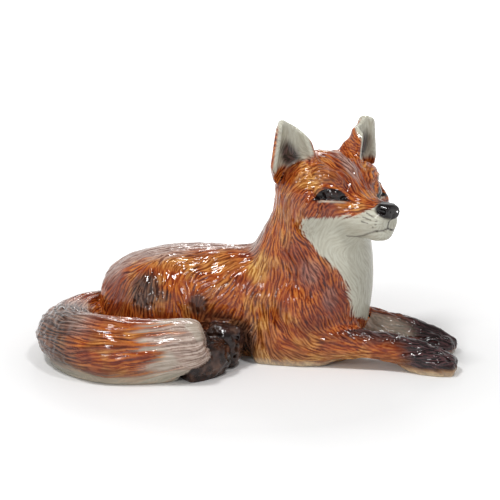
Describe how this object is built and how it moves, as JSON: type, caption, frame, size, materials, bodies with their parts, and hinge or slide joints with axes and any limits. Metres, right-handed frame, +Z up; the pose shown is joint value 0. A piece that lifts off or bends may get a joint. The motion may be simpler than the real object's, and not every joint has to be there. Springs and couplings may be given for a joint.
{
  "type": "fox figurine",
  "caption": "Small glazed porcelain fox lying with its head up and turned, forelegs stretched ahead and its bushy tail curled round its side.",
  "frame": {"origin": "on the ground, below the middle of the figurine's bounding box", "axes": "+X ahead of the fox along its body, +Y to its left, +Z up from the ground"},
  "size_m": [0.0658, 0.035, 0.0382],
  "materials": {
    "rust_glaze": "gloss",
    "dark_paw_glaze": "gloss",
    "ear_glaze": "gloss"
  },
  "bodies": {
    "root": {"body_casting": "rust_glaze", "head_casting": "rust_glaze", "ear_right": "ear_glaze", "ear_left": "ear_glaze", "foreleg_right": "rust_glaze", "foreleg_left": "rust_glaze", "hind_foot_right": "dark_paw_glaze", "hind_foot_left": "dark_paw_glaze", "tail": "rust_glaze"}
  },
  "joints": []
}
